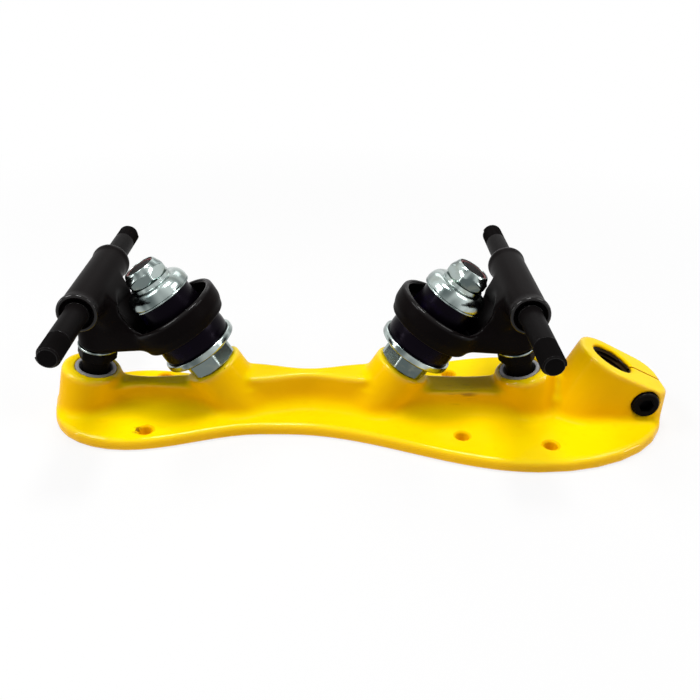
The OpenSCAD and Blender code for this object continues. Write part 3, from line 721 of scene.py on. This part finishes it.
def buildPlate(c):
    cast = Casting(*boxOf("base_plate"), c["cell"], c["fillet"] + (bandCells + 1) * c["cell"])
    body = cast.fromNode("base_plate", c["fillet"] + bandCells * c["cell"])
    sleeve = stop.reach("toe_stop_sleeve")
    mouth = stop.reach("base_plate")[1]
    head = clamp.reach("toe_clamp_screw")
    plug, past, fit = c["plug"], c["past"], c["fit"]
    bores = []  # filled before the corners are rounded, and bored again after
    for side in ("front", "rear"):
        king, pivot = spindles[side]["king"], spindles[side]["pivot"]
        insert, cup = king.reach(side + "_kingpin_insert"), pivot.reach(side + "_pivot_cup")
        body = np.minimum(body, cast.rod(king, insert[3] + plug, insert[0] - plug, 0))
        body = np.minimum(body, cast.rod(pivot, cup[3] + c["cupPlug"], cup[0] - plug, cup[1]))
        bores.append(cast.rod(king, insert[3] + fit, insert[0], insert[1] + c["over"]))
        bores.append(cast.rod(pivot, cup[3] + fit, cup[0], cup[1] + c["over"]))
    body = np.minimum(body, cast.rod(stop, sleeve[3] + plug, -past, mouth))
    body = np.minimum(body, cast.rod(clamp, head[3] + plug, head[0] + c["headPlug"], head[1]))
    body = np.maximum(body, -cast.z)
    foot, top = c["sweepSpan"]
    swept = cast.swept(body, c["sweep"], c["sweepFlat"], c["sweepCell"], foot, top)
    swept = swept + c["sweepBack"]
    for limit in (cast.x - c["sweepEnd"], foot - c["sweepUnder"] - cast.z, cast.z - top):
        swept = np.maximum(swept, limit)
    body = np.minimum(body, swept)
    crisp, full = cast.filled(body, c["crease"]), cast.filled(body, c["fillet"])
    low = np.clip((c["crispAbove"] - cast.z) / (c["crispAbove"] - c["softBelow"]), 0, 1)
    full = soft(crisp + (full - crisp) * (low * low * (3 - 2 * low)), c["polish"])
    bend = soft(full, edgeSpread) - full
    edge = np.where(bend > 0, bend, -c["hollowShine"] * bend)
    hole = np.minimum(
        cast.rod(stop, sleeve[3] + fit, -past, sleeve[1]),
        cast.rod(stop, sleeve[2] + c["stemRoom"], -past, past))
    full = cut(full, hole, c["mouthRound"])
    headSeat = head[0] + c["headHigh"]
    headBore = cast.rod(clamp, head[3] + c["headRoom"], -past, headSeat)
    screwBore = cast.rod(clamp, c["screwR"], headSeat - c["lap"], past)
    for tool in (headBore, screwBore, *bores):
        full = cut(full, tool, c["boreRound"])
    # how near a point lies to the stem hole and screw bores, for the painted shade in them
    deep = np.clip(0.5 - np.minimum.reduce([hole, headBore, screwBore]) / c["deepFade"], 0, 1)
    mesh = castMesh("base_plate", cast, full, {"edge": edge, "inside": deep})
    # how much each point faces up, which sets the painted shade on upright sides and the painted
    # light on tops
    normals = np.empty(len(mesh.vertices) * 3, np.float32)
    mesh.vertex_normals.foreach_get("vector", normals)
    marked(mesh, normals[2::3], "up")
    seat, _, _, corner = clamp.reach("toe_clamp_nut")
    flats, wide = flatsOf(corner) + c["nutRoom"], corner + c["lap"]
    profile = [(0, seat, 0), (wide, seat, 0), (wide, past, 0), (0, past, 0)]
    # the drills carry marks for the painted shade in the boot holes, nut pocket and saw cut
    drills = [slitTool(c), marked(turned("nutPocket", profile, clamp, flats, 0), 1.0)]
    for name in ("heel_boot_holes", "ball_boot_holes", "toe_boot_holes"):
        m = mounts[name]
        for hand in (-0.5, 0.5):
            spot = Vector(m["pos_m"]) + Vector((0, hand * m["dims"]["spacing_y_mm"] * mm, 0))
            drills.append(holeTool(spot, m["dims"]["hole_r_mm"], c))
    mesh = carved(mesh, together(*drills))
    print("base plate:", len(mesh.polygons), "faces")
    place(mesh, "base_plate")


def slitTool(c):  # a thin saw blade from the stem hole forwards
    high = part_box("base_plate")[1]
    y, z = c["slitHalf"] * mm, c["slitFloor"] * mm
    xs, zs = (stop.base.x * mm, high.x + y), (z, high.z + y)
    points = [(x, v, w) for x in xs for v in (-y, y) for w in zs]
    faces = [(0, 1, 3, 2), (4, 6, 7, 5), (0, 4, 5, 1), (2, 3, 7, 6), (0, 2, 6, 4), (1, 5, 7, 3)]
    return marked(meshOf("slitTool", points, faces, turnedSharp), 2.0)


def holeTool(spot, r, c):  # a drill that opens softly at the flange's face
    half, flare = spot.z / mm, c["holeFlare"]
    under, over = -half - c["lap"], half + c["holeOver"]
    line = Spindle(spot, Vector((0, 0, 1)), Vector((1, 0, 0)))
    mouth = [
        (r + flare * (1 - math.cos(a)), half - flare * (1 - math.sin(a)), 0)
        for a in quarter(c["flareSteps"])]
    profile = [(0, under, 0), (r, under, 0), *mouth, (r + flare, over, 0), (0, over, 0)]
    return marked(turned("holeTool", profile, line, steps=drillSteps), 1.0)


def carved(mesh, tool):  # takes a tool's shape out of a mesh
    pair = [bpy.data.objects.new(m.name, m) for m in (mesh, tool)]
    for obj in pair:
        bpy.context.scene.collection.objects.link(obj)
    modifier = pair[0].modifiers.new("carve", "BOOLEAN")
    modifier.operation, modifier.solver, modifier.object = "DIFFERENCE", "EXACT", pair[1]
    shown = pair[0].evaluated_get(bpy.context.evaluated_depsgraph_get())
    done = bpy.data.meshes.new_from_object(shown)
    for obj in pair:
        bpy.data.objects.remove(obj)
    done.set_sharp_from_angle(angle=math.radians(carvedSharp))
    return done


buildPlate(plate)


# Truck hangers

hanger = dict(
    cell=0.45, fillet=3.2, spread=14, polish=3, rimRound=0.8, plug=0.7, past=60,
    webHalf=2.5, webOver=2, rimHigh=7.3, ringWall=1.0, cupR=15.4, seatR=14.3,
    nutRoom=9.86, nutCone=(-2.4, 5.6), recessR=5.5, recess=1.6, boreR=4.35,
    pinPlug=5.0, pinPlugOver=1, pinR=4.05, pinOver=5)


def buildHanger(c):
    name = "front_hanger"
    king, pivot, axle = (spindles["front"][k] for k in ("king", "pivot", "axle"))
    cast = Casting(*boxOf(name), c["cell"], c["fillet"] + (bandCells + 1) * c["cell"])
    body = cast.fromNode(name, c["fillet"] + bandCells * c["cell"])
    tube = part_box(name)[1].y / mm
    midWeb = king.reach("front_lower_cushion")[1]
    nutLow = king.reach("front_kingpin_nut")[0]
    low, high = midWeb - c["webHalf"], midWeb + c["webHalf"]
    holeR = king.reach(name)[2]
    thread = pivot.reach("front_pivot_pin")[1]
    face = pivot.reach("front_pivot_washer")[1]
    ring = cast.rod(king, c["cupR"] + c["ringWall"], low, midWeb + c["rimHigh"])
    tubePlug = cast.rod(axle, c["recessR"] + c["plug"], -tube, tube)
    pinPlug = cast.rod(pivot, c["pinPlug"], face, thread + c["pinPlugOver"])
    body = np.minimum.reduce([body, ring, tubePlug, pinPlug])
    full = cast.filled(body, c["fillet"])
    full = soft(np.minimum(full, soft(full, c["spread"])), c["polish"])
    along, away = cast.polar(king)
    first, last = c["nutCone"]
    risen = np.clip((along - nutLow - first) / (last - first), 0, 1)
    cone = c["cupR"] + (c["nutRoom"] - c["cupR"]) * risen
    past, recessR, end = c["past"], c["recessR"], tube - c["recess"]
    tools = [
        cast.rod(king, c["seatR"], -past, low),
        cast.rod(king, holeR, low - c["webOver"], high + c["webOver"]),
        np.maximum(away - cone, high - along), cast.rod(axle, c["boreR"], -past, past),
        cast.rod(axle, recessR, end, past), cast.rod(axle, recessR, -past, -end),
        cast.rod(pivot, c["pinR"], face - c["pinOver"], thread)]
    for tool in tools:
        full = cut(full, tool, c["rimRound"])
    edge = np.clip(soft(full, edgeSpread) - full, 0, None)
    mesh = castMesh(name, cast, full, {"edge": edge})
    print("hanger:", len(mesh.polygons), "faces")
    rear = mesh.copy()
    rear.name = "rear_hanger"
    rear.transform(Matrix.Scale(-1, 4, (1, 0, 0)))
    rear.flip_normals()
    rear.set_sharp_from_angle(angle=math.radians(castSharp))
    place(mesh, name)
    place(rear, "rear_hanger")


buildHanger(hanger)


# Threads, one ridge wound on a spindle

ridgeShape = dict(turnSteps=36, sides=4, fade=1.6)


def threadTree(c):
    tree = bpy.data.node_groups.new("threadRidge", "GeometryNodeTree")
    inputs = dict(Radius="Float", Pitch="Float", Turns="Float", Depth="Float", Finish="Material")
    for label, kind in inputs.items():
        tree.interface.new_socket(label, in_out="INPUT", socket_type="NodeSocket" + kind)
    tree.interface.new_socket("Ridge", in_out="OUTPUT", socket_type="NodeSocketGeometry")
    f = Finish(tree)
    start = f.node("NodeGroupInput")
    size = {label: Wire(f, start.outputs[label]) for label in inputs}
    path = f.wire("GeometryNodeCurveSpiral", 0, None, {
        "Resolution": c["turnSteps"], "Rotations": size["Turns"],
        "Height": size["Pitch"] * size["Turns"],
        "Start Radius": size["Radius"], "End Radius": size["Radius"]})
    path = f.wire("GeometryNodeSetCurveNormal", 0, dict(mode="Z_UP"), {0: path})
    share = f.wire("GeometryNodeSplineParameter", "Factor")
    fade = share.sum("MINIMUM", 1 - share) * size["Turns"] * c["fade"]
    path = f.wire("GeometryNodeSetCurveRadius", 0, None, {
        "Curve": path, "Radius": fade.sum("MINIMUM", 1.0)})
    section = f.wire("GeometryNodeCurvePrimitiveCircle", 0, None, {
        "Resolution": c["sides"], "Radius": size["Depth"]})
    ridge = f.wire("GeometryNodeCurveToMesh", 0, None, {
        "Curve": path, "Profile Curve": section, "Fill Caps": True})
    ridge = f.wire("GeometryNodeRealizeInstances", 0, None, {0: ridge})
    ridge = f.wire("GeometryNodeSetMaterial", 0, None, {
        "Geometry": ridge, "Material": size["Finish"]})
    end = f.node("NodeGroupOutput")
    tree.links.new(ridge.socket, end.inputs["Ridge"])
    return tree


threads = threadTree(ridgeShape)


def wound(spindle, low, pitch, turns, radius, depth, material):
    carrier = bpy.data.objects.new("threadCarrier", bpy.data.meshes.new("threadCarrier"))
    bpy.context.scene.collection.objects.link(carrier)
    modifier = carrier.modifiers.new("threadRidge", "NODES")
    modifier.node_group = threads
    keys = {i.name: i.identifier for i in threads.interface.items_tree if i.in_out == "INPUT"}
    for label, value in dict(Radius=radius, Pitch=pitch, Turns=turns, Depth=depth).items():
        modifier[keys[label]] = float(value)
    modifier[keys["Finish"]] = material
    shown = carrier.evaluated_get(bpy.context.evaluated_depsgraph_get())
    mesh = bpy.data.meshes.new_from_object(shown)
    mesh.transform(spindle.matrix(low))
    carrier.modifiers.clear()
    bpy.data.objects.remove(carrier)
    return mesh


# Turned pieces of both trucks

nut = dict(chamfer=0.85, rings=5, edge=0.15, face=0.97)


def nutProfile(c, low, high, hole, flats):
    corner, ring = flats / math.sqrt(3), flats / 2 * c["face"]
    rise = (corner - flats / 2) * c["chamfer"]
    slope = [(ring + (corner - ring) * g, rise * g) for g in shares(c["rings"])]
    outer = [(r, low + t, 0) for r, t in slope] + [(r, high - t, 0) for r, t in slope[::-1]]
    return [(hole, low, c["edge"]), *outer, (hole, high, c["edge"])]


def buildNut(node, line, material=None):
    low, high, hole, corner = line.reach(node)
    flats = flatsOf(corner)
    place(turned("nut", nutProfile(nut, low, high, hole, flats), line, flats), node, material)


def tubeProfile(inner, outer, low, high, edge):
    return [(inner, low, edge), (outer, low, edge), (outer, high, edge), (inner, high, edge)]


axleShape = dict(
    chamfer=0.9, tipIn=0.5, tipDown=0.7, pitch=1.25, depth=0.5, threadShare=0.34, step=0.15)


def buildAxle(side, c):
    node = side + "_axle"
    line = spindles[side]["axle"]
    _, high, _, thick = line.reach(node)
    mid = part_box(side + "_hanger")[1].y / mm
    r = mounts[side + "_left_wheel_axle"]["dims"]["r_mm"]
    chamfer, depth, run = c["chamfer"], c["depth"], (high - mid) * c["threadShare"]
    root = r - depth
    half = [
        (0, high, 0), (root - chamfer * c["tipIn"], high, small),
        (root, high - chamfer * c["tipDown"], fine), (root, high - run, 0),
        (r, high - run - depth, fine), (r, mid, 0), (thick, mid - c["step"], fine)]
    profile = half + [(a, -b, d) for a, b, d in half[::-1]]
    mesh = turned(node, profile[::-1], line, steps=slimSteps)
    turns, material = (run - chamfer) / c["pitch"], finishes[slotOf[node]]
    starts = (high - run, -high + chamfer)
    ridges = [wound(line, b, c["pitch"], turns, root, depth, material) for b in starts]
    place(together(mesh, *ridges), node)


pivotShape = dict(ballSteps=10, threadIn=0.06, socketR=5.4, mouthR=6.2, rimRound=0.5)


def buildPivot(side, c):
    line = spindles[side]["pivot"]
    low, high, _, ballR = line.reach(side + "_pivot_pin")
    nutLow, _, hole, _ = line.reach(side + "_pivot_nut")
    centre = low + ballR
    arcs = quarter(c["ballSteps"])
    pin = [(ballR * math.sin(a), centre - ballR * math.cos(a), 0) for a in arcs]
    root = hole - c["threadIn"]
    pin += [(ballR, nutLow, small), (root, nutLow, 0), (root, high, broad), (0, high, 0)]
    place(turned("pin", pin, line, steps=slimSteps), side + "_pivot_pin")
    buildNut(side + "_pivot_nut", line)
    a, b, r0, r1 = line.reach(side + "_pivot_washer")
    place(turned("washer", tubeProfile(r0, r1, a, b, mild), line), side + "_pivot_washer")
    a, b, _, r1 = line.reach(side + "_pivot_cup")
    rim, socket = c["rimRound"], c["socketR"]
    seat = [(socket * math.sin(x), centre - socket * math.cos(x), 0) for x in arcs]
    cup = [(0, a, 0), (r1, a, broad), (r1, b, rim), (c["mouthR"], b, rim), *seat[::-1]]
    place(turned("cup", cup, line), side + "_pivot_cup")


kingShape = dict(
    tip=0.7, washerT=1.5, washerRim=0.6, washerRound=1.0, washerLean=0.6,
    seatR=8.9, cupLip=0.55, cupOut=0.2, cupSkirt=0.9, skirtR=10.85, cupDome=0.76, cupNeckR=7.8,
    domeSteps=9, nutChamfer=1.3, hexOver=0.3, crownShare=0.62, crownR=6.4, crownRound=0.6,
    ringShare=0.93, ringWall=0.4, ringGap=0.05, ringDrop=0.35, pinDrop=0.15)
cushion = dict(
    flareLow=0.6, barrel=0.75, fullness=0.8, waist=0.35, topIn=1.3, neckR=7.35, webHalf=2.5,
    rings=18)


def buildKingpin(side, c):
    line = spindles[side]["king"]

    def span(piece):
        return line.reach(f"{side}_{piece}")

    buildNut(side + "_kingpin_jam_nut", line, zincNut)
    a, b, r0, r1 = span("lower_washer")
    t, e, bend = c["washerT"], c["washerRim"], c["washerRound"]
    dish = [
        (r0, a, small), (r1 - t, a, bend), (r1, a + t * c["washerLean"], bend), (r1, b, e),
        (r1 - t, b, e), (r1 - t, a + t, bend / 2), (r0, a + t, small)]
    place(turned("washer", dish, line), side + "_lower_washer")
    a, b, r0, r1 = span("cushion_cup")
    lip, seat, rim, skirt = c["cupLip"], c["seatR"], r1 + c["cupOut"], c["skirtR"]
    foot, crown = a - c["cupSkirt"], a + (b - a) * c["cupDome"]
    cup = [
        (r0, a, small), (skirt, a, fine), (skirt, foot, fine), (rim, foot, small),
        (rim, foot + lip, small), (rim - lip / 2, foot + lip, fine)]
    rise = crown - foot - 2 * lip
    cup += [
        (seat + (rim - seat) * math.cos(x), foot + 2 * lip + rise * math.sin(x), 0)
        for x in quarter(c["domeSteps"])]
    cup += [(c["cupNeckR"], crown, small), (c["cupNeckR"], b, 0), (r0, b, small)]
    place(turned("cushionCup", cup, line), side + "_cushion_cup")
    shelf, _, ringHole, ringR = span("nut_lock_ring")
    a, b, r0, r1 = span("kingpin_nut")
    flats = flatsOf(r1)
    hexTop = shelf + c["hexOver"]
    top = shelf + (b - shelf) * c["crownShare"]
    ringR = ringR * c["ringShare"]
    inner = ringR + c["ringGap"]
    body = nutProfile(dict(nut, chamfer=c["nutChamfer"]), a, hexTop, r0, flats)[:-1]
    body += [
        (c["crownR"], top - c["crownRound"], c["crownRound"]), (ringR + c["ringWall"], top, small),
        (inner, top, small), (inner, shelf, 0), (r0, shelf, 0)]
    place(turned("kingpinNut", body, line, flats), side + "_kingpin_nut", zincNut)
    ringTop = top - c["ringDrop"]
    ring = [
        (ringHole, shelf, 0), (ringR, shelf, 0), (ringR, ringTop, mild), (ringHole, ringTop, mild)]
    place(turned("lockRing", ring, line), side + "_nut_lock_ring")
    a, _, _, r1 = span("kingpin")
    tip, b = c["tip"], top - c["pinDrop"]
    pin = [
        (0, a, 0), (r1 - tip, a, fine), (r1, a + tip, fine),
        (r1, b - tip, small), (r1 - tip, b, mild), (0, b, 0)]
    place(turned("kingpin", pin, line, steps=slimSteps), side + "_kingpin")
    insert = nodes[side + "_kingpin_insert"].data.materials
    insert.clear()
    insert.append(finishes["black_steel"])
    buildCushions(side, cushion, line, span)


def buildCushions(side, c, line, span):
    steps, neckR = shares(c["rings"]), c["neckR"]
    a, neck, r0, r1 = span("lower_cushion")
    web = neck - c["webHalf"]
    foot = r1 - c["flareLow"]
    bulge = [math.sin(math.pi * g) for g in steps]
    wall = [
        (foot + c["barrel"] * s ** c["fullness"], a + (web - a) * g, 0)
        for s, g in zip(bulge, steps)]
    lower = [
        (r0, a, small), *wall, (neckR, web, small), (neckR, neck, small), (r0, neck, small)]
    obj = place(turned("lowerCushion", lower, line), side + "_lower_cushion", ride=False)
    line.at(a)
    line.at(web)
    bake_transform(obj)
    neck, b, r0, r1 = span("upper_cushion")
    web = neck + c["webHalf"]
    wall = [
        (r1 - c["topIn"] * g - c["waist"] * s, web + (b - web) * g, 0)
        for s, g in zip(bulge, steps)]
    upper = [
        (r0, neck, small), (neckR, neck, small), (neckR, web, small), *wall, (r0, b, small)]
    obj = place(turned("upperCushion", upper, line), side + "_upper_cushion", ride=False)
    line.at(b)
    line.at(web)
    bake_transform(obj)


for side in ("front", "rear"):
    buildAxle(side, axleShape)
    buildPivot(side, pivotShape)
    buildKingpin(side, kingShape)
print("truck pieces turned")


# Toe stop fittings

toeStop = dict(
    slitHalf=0.6, pitch=1.6, threadDepth=0.75, threadSink=0.4, threadBrown=0.03, runOut=0.5,
    headRound=0.7, headFace=1.2, headRim=0.5, headHigh=6.0, socketFlats=5.0, socketDepth=3.0,
    shankR=3.0, shankPitch=1.0, shankDepth=0.4)


def buildToeStop(c):
    low, high, r0, r1 = stop.reach("toe_stop_sleeve")
    gap = math.asin(c["slitHalf"] / r0)
    depth, runOut = c["threadDepth"], c["runOut"]
    root = r0 + depth * c["threadSink"]
    shell = tubeProfile(root, r1, low, high, broad)
    mesh = turned("sleeve", shell, stop, angles=(gap, 2 * math.pi - gap))
    turns = (high - low - 2 * runOut) / c["pitch"]
    worn = blackSteel("threadedSteel", c["threadBrown"], steel)
    ridge = wound(stop, low + runOut, c["pitch"], turns, root, depth, worn)
    place(together(mesh, ridge), "toe_stop_sleeve", worn)
    low, high, _, r1 = clamp.reach("toe_clamp_screw")
    seat, floor = low + c["headHigh"], low + c["socketDepth"]
    root, pitch = c["shankR"] - c["shankDepth"], c["shankPitch"]
    head = [  # a negative radius follows the hexagon socket
        (0, floor, 0), (-1, floor, 0), (-1, low, 0),
        (r1 - c["headFace"], low, 0), (r1 - c["headRim"], low, 0),
        (r1, low + c["headRound"], broad), (r1, seat, small),
        (root, seat, 0), (root, high, broad), (0, high, 0)]
    mesh = turned("screw", head, clamp, socket=c["socketFlats"])
    turns, dark = (high - seat - 2 * runOut) / pitch, finishes["black_steel"]
    ridge = wound(clamp, seat + runOut, pitch, turns, root, c["shankDepth"], dark)
    place(together(mesh, ridge), "toe_clamp_screw")
    buildNut("toe_clamp_nut", clamp, zincNut)


buildToeStop(toeStop)
print("toe stop fittings made")
